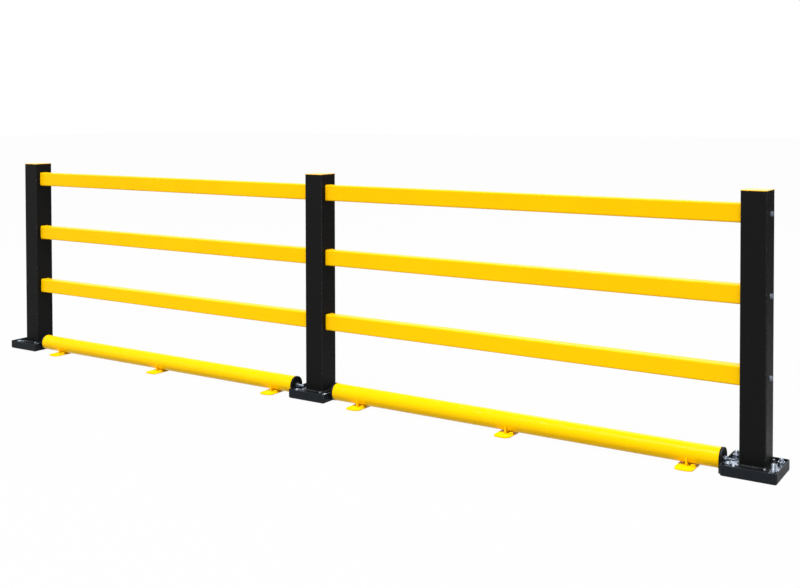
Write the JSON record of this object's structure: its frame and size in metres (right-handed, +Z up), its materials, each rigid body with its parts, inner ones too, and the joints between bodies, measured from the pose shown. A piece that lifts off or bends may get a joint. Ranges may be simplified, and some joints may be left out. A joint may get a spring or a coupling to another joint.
{
  "type": "pedestrian safety railing",
  "caption": "Floor-mounted pedestrian guard rail: box posts in anchored trays carry box rails and a low round kick rail on floor feet.",
  "frame": {"origin": "on the floor under the middle post's axis, in the underside of the middle tray", "axes": "+X along the railing, +Z up, -Y towards the side that the kick rails stand proud on"},
  "size_m": [4.856, 0.252, 1.206],
  "materials": {
    "yellow_paint": "satin powder coat",
    "black_paint": "satin powder coat",
    "black_tray": "fine textured coat",
    "zinc": "bright zinc plating"
  },
  "bodies": {
    "root": {"post_left": "black_paint", "cap_left": "yellow_paint", "tray_left": "black_tray", "saddle_left": "zinc", "post_flange_left": "black_paint", "post_middle": "black_paint", "cap_middle": "yellow_paint", "tray_middle": "black_tray", "saddle_middle": "zinc", "post_flange_middle": "black_paint", "post_right": "black_paint", "cap_right": "yellow_paint", "tray_right": "black_tray", "saddle_right": "zinc", "post_flange_right": "black_paint", "top_rail_left": "yellow_paint", "middle_rail_left": "yellow_paint", "lower_rail_left": "yellow_paint", "kick_rail_left": "yellow_paint", "top_rail_right": "yellow_paint", "middle_rail_right": "yellow_paint", "lower_rail_right": "yellow_paint", "kick_rail_right": "yellow_paint", "kick_bracket_1": "black_paint", "kick_bracket_2": "black_paint", "kick_bracket_3": "black_paint", "kick_bracket_4": "black_paint", "foot_1": "yellow_paint", "foot_2": "yellow_paint", "foot_3": "yellow_paint", "foot_4": "yellow_paint", "foot_5": "yellow_paint", "foot_6": "yellow_paint"}
  },
  "joints": []
}
